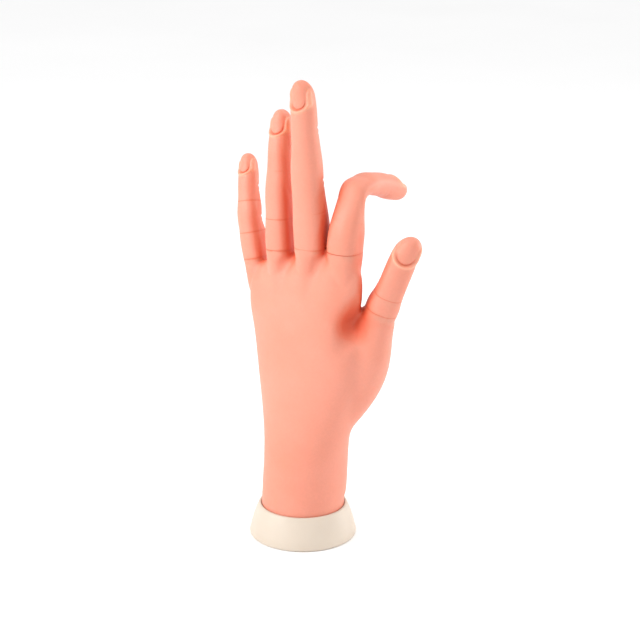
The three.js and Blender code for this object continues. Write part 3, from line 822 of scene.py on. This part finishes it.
def meet_fingers(co, edges, trees):
    """Ends each stub just as its finger starts, with a soft slope below it."""
    whose = owners(co * MM)
    slopes = np.zeros(len(co))
    for name, tree in trees.items():
        spec = FINGERS[name]
        local = in_finger(co * MM, name)
        below = spec["cuts"][0] - local[:, 2]
        away = np.hypot(local[:, 0] / spec["across"][0], local[:, 1] / spec["deep"][0])
        share = smooth((STUB_MEETS + STUB_FADES - below) / STUB_FADES) * (whose == name)
        share *= smooth((STUB_SIZE + STUB_EDGE - away) / STUB_EDGE)
        for i in np.nonzero(share > 0)[0]:
            near = tree.find_nearest(Vector(co[i] * MM))[0]
            co[i] += (np.array(near) / MM - co[i]) * share[i]
        # The thumb has its fork there
        if name != "thumb":
            slope = (smooth((below - STUB_MEETS) / 2) * smooth((11 - below) / 4)
                     * smooth((1.7 - away) / 0.4))
            slopes = np.maximum(slopes, slope)
    return soften(co, edges, slopes, SLOPE_ROUNDS)


def palm(wholes):
    """Skin of the palm and wrist as one surface, with a stub for each finger."""
    obj = limb("palm_whole", PALM_RINGS)
    parts = [obj, limb("thumb_ball", THUMB_BALL_RINGS)]
    carve(obj, "hollow", HOLLOW_RINGS, HOLLOW_TURN)
    carve(obj, "fork", FORK_RINGS, FORK_TURN)
    remesh(obj)
    move_to(obj, soften_places(points(obj) / MM, edge_ends(obj), RIM) * MM)
    trees = {}
    for name, whole in wholes.items():
        trees[name] = finger_tree(whole, name)
        parts.append(finger_stub(whole, name))
    clear()
    for part in parts:
        part.select_set(True)
    bpy.context.view_layer.objects.active = obj
    bpy.ops.object.join()
    obj.name = obj.data.name = "palm_soft"
    remesh(obj)
    edges = edge_ends(obj)
    co = even_out(points(obj) / MM, edges, EVEN_ROUNDS)
    height = co[:, 2]
    body = (smooth((BODY_TOP - height) / BODY_TOP_FADE)
            * smooth((height - BODY_FOOT) / BODY_FOOT_FADE))
    co = soften(co, edges, body, BODY_ROUNDS)
    co = soften_places(co, edges, WEBS)
    move_to(obj, co * MM)
    out = normals(obj)
    rise = sculpt_palm(co, out) * smooth((co[:, 2] - SCULPT_FOOT) / SCULPT_FADE)
    co = even_out(co + out * rise[:, None], edges, LAST_EVEN_ROUNDS)
    co = soften_saddles(co, edges)
    round_wrist(co)
    move_to(obj, meet_fingers(co, edges, trees) * MM)
    for name in wholes:
        open_stub(obj, name)
    return obj


def open_stub(obj, name):
    """Cuts the palm where a finger's first piece starts, and sinks a socket there."""
    spec = FINGERS[name]
    matrix = root_matrix(spec)
    cut = spec["cuts"][0]
    place = matrix @ Vector((0, 0, cut * MM))
    along = (matrix.to_3x3() @ Vector((0, 0, 1))).normalized()
    pick(obj)
    bpy.ops.object.mode_set(mode="EDIT")
    bpy.ops.mesh.select_mode(type="FACE")

    def near(mesh, low, high):
        """Faces of the stub between two distances past the cut."""
        centres = np.array([face.calc_center_median() for face in mesh.faces])
        past = in_finger(centres, name)[:, 2] - cut
        return (owners(centres) == name) & (past > low) & (past < high)

    mesh = bmesh.from_edit_mesh(obj.data)
    for face, chosen in zip(mesh.faces, near(mesh, -2, 9)):
        face.select = bool(chosen)
    bmesh.update_edit_mesh(obj.data)
    bpy.ops.mesh.bisect(plane_co=place, plane_no=along, use_fill=False)
    mesh = bmesh.from_edit_mesh(obj.data)
    gone = [face for face, chosen in zip(mesh.faces, near(mesh, 0, 14)) if chosen]
    bmesh.ops.delete(mesh, geom=gone, context="FACES")
    rim = [edge for edge in mesh.edges if edge.is_boundary]
    loose = {vertex for edge in rim for vertex in edge.verts}
    bmesh.ops.remove_doubles(mesh, verts=list(loose), dist=RIM_MERGE)
    rim = [edge for edge in mesh.edges if edge.is_boundary]
    filled = bmesh.ops.contextual_create(mesh, geom=rim)["faces"]
    for face in mesh.faces:
        face.select = False
    for face in filled:
        if face.normal.dot(along) < 0:
            face.normal_flip()
        face.select = True
    bmesh.update_edit_mesh(obj.data)
    bpy.ops.mesh.inset(thickness=SOCKET_INSET * MM, use_even_offset=False)
    depth = (tongue_depth(name, 0) + SOCKET_MORE) * MM
    bpy.ops.mesh.extrude_region_move(TRANSFORM_OT_translate={"value": -along * depth})
    bpy.ops.object.mode_set(mode="OBJECT")


def shaded(pieces):
    """Keeps in each piece how much of what each point faces is skin close by, from 0 to 1."""
    corners, polygons = [], []
    for piece in pieces:
        first = len(corners)
        corners.extend(Vector(place) for place in points(piece))
        polygons.extend([first + i for i in face.vertices] for face in piece.data.polygons)
    tree = BVHTree.FromPolygons(corners, polygons)
    turn = np.arange(LOOKS) * math.pi * (3 - math.sqrt(5))
    height = 1 - (np.arange(LOOKS) + 0.5) * 2 / LOOKS
    round_it = np.sqrt(1 - height ** 2)
    looks = np.stack([np.cos(turn) * round_it, np.sin(turn) * round_it, height], axis=1)
    ways = [Vector(look) for look in looks]
    for piece in pieces:
        co, out = points(piece), normals(piece)
        facing = out @ looks.T
        starts = co + out * LOOK_START * MM
        share = np.zeros((len(co), 1))
        for i, (start, weights) in enumerate(zip(starts, facing)):
            start = Vector(start)
            seen = np.nonzero(weights > LOOK_LEAST)[0]
            hit = sum(weights[k] for k in seen
                      if tree.ray_cast(start, ways[k], SHADE_REACH * MM)[0] is not None)
            share[i] = hit / sum(weights[k] for k in seen)
        edges = edge_ends(piece)
        counts = neighbour_counts(edges, len(co))
        for _ in range(SHADE_ROUNDS):
            share += pull(share, edges, counts) * 0.5
        # Painted shade, made deeper in the fork of the thumb
        from_fork = np.linalg.norm(co / MM - FORK_PLACE, axis=1)
        share[:, 0] += FORK_SHADE * bump(from_fork, FORK_SHADE_REACH)
        # Kept for the skin's painted shade
        layer = piece.data.attributes.new("shade", "FLOAT", "POINT")
        layer.data.foreach_set("value", share[:, 0])


def nodes_of(material):
    """Node tree of a material, its shader, and its texture coordinates."""
    material.use_nodes = True
    tree = material.node_tree
    return tree, tree.nodes["Principled BSDF"], tree.nodes.new("ShaderNodeTexCoord")


def noise(tree, coordinates, scale, detail):
    node = tree.nodes.new("ShaderNodeTexNoise")
    node.inputs["Scale"].default_value = scale
    node.inputs["Detail"].default_value = detail
    tree.links.new(coordinates.outputs["Object"], node.inputs["Vector"])
    return node.outputs["Fac"]


def ramp(tree, value, stops):
    """Colours or greys along a value."""
    node = tree.nodes.new("ShaderNodeValToRGB")
    elements = node.color_ramp.elements
    while len(elements) < len(stops):
        elements.new(0.5)
    for element, (place, colour) in zip(elements, stops):
        element.position = place
        element.color = (*colour, 1)
    tree.links.new(value, node.inputs["Fac"])
    return node.outputs["Color"]


def multiplied(tree, first, second):
    """Product of two colours."""
    node = tree.nodes.new("ShaderNodeMix")
    node.data_type = "RGBA"
    node.blend_type = "MULTIPLY"
    sockets = {socket.identifier: socket for socket in node.inputs}
    sockets["Factor_Float"].default_value = 1
    tree.links.new(first, sockets["A_Color"])
    tree.links.new(second, sockets["B_Color"])
    return next(socket for socket in node.outputs if socket.identifier == "Result_Color")


def attribute(tree, name):
    """Value of an attribute that the points of a piece carry."""
    node = tree.nodes.new("ShaderNodeAttribute")
    node.attribute_name = name
    return node.outputs["Fac"]


def bumped(tree, shader, height, strength, distance):
    node = tree.nodes.new("ShaderNodeBump")
    node.inputs["Strength"].default_value = strength
    node.inputs["Distance"].default_value = distance
    tree.links.new(height, node.inputs["Height"])
    tree.links.new(node.outputs["Normal"], shader.inputs["Normal"])


def grey(value):
    return (value, value, value)


def mottled(name, patches, tones, grain, rough):
    """Finish in two tones and two roughnesses, each mixed by a noise of its own scale."""
    material = bpy.data.materials.new(name)
    tree, shader, coordinates = nodes_of(material)
    colour = ramp(tree, noise(tree, coordinates, patches, 3), list(zip((0.3, 0.7), tones)))
    tree.links.new(colour, shader.inputs["Base Color"])
    roughness = ramp(tree, noise(tree, coordinates, grain, 2),
                     [(0.3, grey(rough[0])), (0.7, grey(rough[1]))])
    tree.links.new(roughness, shader.inputs["Roughness"])
    return material, tree, shader, coordinates


def soft_skin():
    """Matte soft vinyl, salmon pink, lighter and deeper in broad soft patches."""
    material = bpy.data.materials.new("soft_skin_vinyl")
    tree, shader, coordinates = nodes_of(material)
    patches = ramp(tree, noise(tree, coordinates, 28, 3),
                   [(0.3, SKIN_DEEP), (0.5, SKIN), (0.7, SKIN_PALE)])
    fine = ramp(tree, noise(tree, coordinates, 900, 2), [(0.35, grey(0.97)), (0.65, grey(1))])
    colour = multiplied(tree, patches, fine)
    # Painted shade: darker and redder where other skin is close by, between the fingers and in
    # the thumb's fork
    colour = multiplied(tree, colour, ramp(tree, attribute(tree, "shade"), SHADE_TINTS))
    # Painted highlight: paler on the lip round each nail bed
    lip = ramp(tree, attribute(tree, "lip"), [(0, grey(1)), (1, LIP_HIGHLIGHT_TINT)])
    tree.links.new(multiplied(tree, colour, lip), shader.inputs["Base Color"])
    rough = ramp(tree, noise(tree, coordinates, 160, 2), [(0.3, grey(0.46)), (0.7, grey(0.56))])
    tree.links.new(rough, shader.inputs["Roughness"])
    shader.inputs["Subsurface Weight"].default_value = 0.25
    shader.inputs["Subsurface Radius"].default_value = (1.0, 0.35, 0.2)
    shader.inputs["Subsurface Scale"].default_value = 0.0015
    shader.inputs["Specular IOR Level"].default_value = 0.35
    bumped(tree, shader, noise(tree, coordinates, 1400, 3), 0.12, 0.00012)
    return material


def base_plastic():
    """Cream moulded plastic with a fine matte texture."""
    material, tree, shader, coordinates = mottled(
        "cream_base_plastic", 45, [(0.59, 0.505, 0.415), (0.63, 0.545, 0.45)],
        220, (0.42, 0.54))
    shader.inputs["Subsurface Weight"].default_value = 0.15
    shader.inputs["Subsurface Radius"].default_value = (1.0, 0.8, 0.6)
    shader.inputs["Subsurface Scale"].default_value = 0.001
    bumped(tree, shader, noise(tree, coordinates, 1800, 2), 0.15, 0.0001)
    return material


def frame_plastic():
    """Off-white moulded plastic of the inner frame and links."""
    material, tree, shader, coordinates = mottled(
        "frame_plastic", 90, [(0.74, 0.66, 0.53), (0.82, 0.74, 0.61)], 260, (0.4, 0.52))
    bumped(tree, shader, noise(tree, coordinates, 1500, 2), 0.1, 0.0001)
    return material


def bright_steel():
    """Zinc-plated steel of the screws and pins."""
    material, _, shader, _ = mottled(
        "bright_steel", 700, [(0.5, 0.51, 0.53), (0.64, 0.65, 0.67)], 1200, (0.24, 0.38))
    shader.inputs["Metallic"].default_value = 1
    return material


def flared_base():
    """Base turned from its profile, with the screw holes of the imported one."""
    clear()
    bpy.ops.mesh.primitive_circle_add(
        vertices=BASE_SIDES, radius=BASE_PROFILE[0][0] * MM, fill_type="NGON")
    obj = bpy.context.active_object
    obj.name = obj.data.name = "flared_base"
    bpy.ops.object.mode_set(mode="EDIT")
    bpy.ops.mesh.select_mode(type="EDGE")
    mesh = bmesh.from_edit_mesh(obj.data)
    for face in mesh.faces:
        face.select = False
    for edge in mesh.edges:
        edge.select = True
    bmesh.update_edit_mesh(obj.data)
    for (before, low), (radius, high) in zip(BASE_PROFILE, BASE_PROFILE[1:]):
        bpy.ops.mesh.extrude_edges_move(
            TRANSFORM_OT_translate={"value": (0, 0, (high - low) * MM)})
        bpy.ops.transform.resize(value=(radius / before, radius / before, 1),
                                 center_override=(0, 0, high * MM))
    bpy.ops.mesh.edge_face_add()
    bpy.ops.mesh.select_all(action="SELECT")
    bpy.ops.mesh.normals_make_consistent(inside=False)
    bpy.ops.object.mode_set(mode="OBJECT")
    apply(obj, "BEVEL", width=BASE_BEVEL * MM, segments=2, limit_method="ANGLE",
          angle_limit=math.radians(50))
    for i in range(SCREW_COUNT):
        low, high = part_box(f"base_screw_{i + 1}")
        middle = (low + high) / 2
        for radius, top in SCREW_HOLES:
            clear()
            bpy.ops.mesh.primitive_cylinder_add(
                vertices=SCREW_HOLE_SIDES, radius=radius * MM, depth=(top + 1) * MM,
                location=(middle.x, middle.y, (top - 1) / 2 * MM))
            drill = bpy.context.active_object
            apply(obj, "BOOLEAN", operation="DIFFERENCE", object=drill, solver="EXACT")
            bpy.data.objects.remove(drill)
    return obj


def shade(obj, angle, material):
    """Smooth shading with sharp edges past an angle, and its finish."""
    pick(obj)
    bpy.ops.object.shade_smooth_by_angle(angle=math.radians(angle))
    obj.data.materials.clear()
    obj.data.materials.append(material)


def soft_light(name, place, size, power):
    """Square soft box aimed at the hand; its place is from the hand's middle, in metres."""
    light = bpy.data.lights.new(name, "AREA")
    light.size = size
    light.energy = power
    obj = bpy.data.objects.new(name, light)
    bpy.context.scene.collection.objects.link(obj)
    target = Vector(TARGET) * MM
    obj.location = target + place
    obj.rotation_euler = (target - obj.location).to_track_quat("-Z", "Y").to_euler()


def studio():
    """Camera at the photograph's viewing angle, pale floor, and soft light."""
    scene = bpy.context.scene
    target = Vector(TARGET) * MM
    turn, tilt = math.radians(AZIMUTH), math.radians(ELEVATION)
    towards = Vector((math.sin(turn) * math.cos(tilt), -math.cos(turn) * math.cos(tilt),
                      math.sin(tilt)))
    lens = bpy.data.cameras.new("camera")
    lens.sensor_width = SENSOR
    lens.lens = SENSOR * FOCAL_PIXELS / FRAME_PIXELS
    lens.shift_x = 0.5 - VIEW_MIDDLE[0] / FRAME_PIXELS
    lens.shift_y = VIEW_MIDDLE[1] / FRAME_PIXELS - 0.5
    lens.clip_start = 0.01
    camera = bpy.data.objects.new("camera", lens)
    scene.collection.objects.link(camera)
    camera.location = target + towards * DISTANCE * MM
    camera.rotation_euler = (-towards).to_track_quat("-Z", "Y").to_euler()
    scene.camera = camera

    clear()
    bpy.ops.mesh.primitive_plane_add(size=8, location=(0, 0, 0))
    floor = bpy.context.active_object
    floor.name = "floor"
    material = bpy.data.materials.new("pale_floor")
    tree, shader, coordinates = nodes_of(material)
    tone = ramp(tree, noise(tree, coordinates, 3, 2), [(0.3, grey(0.93)), (0.7, grey(0.95))])
    tree.links.new(tone, shader.inputs["Base Color"])
    shader.inputs["Roughness"].default_value = 0.9
    floor.data.materials.append(material)

    world = bpy.data.worlds.new("studio")
    world.use_nodes = True
    background = world.node_tree.nodes["Background"]
    background.inputs["Color"].default_value = (1, 1, 1, 1)
    background.inputs["Strength"].default_value = 1.0
    scene.world = world
    side = Vector((math.cos(turn), math.sin(turn), 0))
    up = Vector((0, 0, 1))
    for name, ((right, near, high), size, power) in LIGHTS.items():
        soft_light(name, side * right + towards * near + up * high, size, power)
    scene.view_settings.view_transform = "Standard"


def piece_ends(name, index, spec):
    """Where the skin of a finger's piece would start and end turning, in metres; nothing here
    turns it.
    """
    if name == "index" and index == 1:
        return fold_ends()
    hinge = sum(spec["lengths"][:index])
    zone = spec["zones"][index]
    # The first piece would turn from just past its cut, as the palm below it stays
    start = hinge + spec["cuts"][0] + 0.2 if index == 0 else hinge - zone
    end = hinge + zone + (2 if index == 0 else 0)
    reach, _, line = finger_path(spec)
    matrix = root_matrix(spec)
    ends = [matrix @ (Vector((0, np.interp(s, reach, line[0]),
                              np.interp(s, reach, line[1]))) * MM) for s in (start, end)]
    if name == "index" and index == 2:
        ends = [Vector(place) for place in folded(np.array(ends))]
    return ends


studio()
wholes = {name: finger_tube(name) for name in FINGERS}
skin = soft_skin()
palm_soft = palm(wholes)
shade(palm_soft, 50, skin)
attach(palm_soft, "stand")
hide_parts("palm_skin")

skins = [palm_soft]
for name, whole in wholes.items():
    for index, label in enumerate(PHALANGES[len(FINGERS[name]["lengths"])]):
        piece = finger_piece(whole, name, index)
        shade(piece, 50, skin)
        skins.append(piece)
        start, end = piece_ends(name, index, FINGERS[name])
        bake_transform(piece)
        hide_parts(f"{name}_{label}_skin")
    bpy.data.objects.remove(whole)

shaded(skins)
base = flared_base()
shade(base, 40, base_plastic())
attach(base, "stand")
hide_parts("base_shell")

plastic, steel = frame_plastic(), bright_steel()
for name, node in frame["nodes"].items():
    if name.endswith("_skin") or name == "base_shell":
        continue
    finish = steel if "screw" in name or name.endswith("_pin") else plastic
    node.data.materials.clear()
    node.data.materials.append(finish)
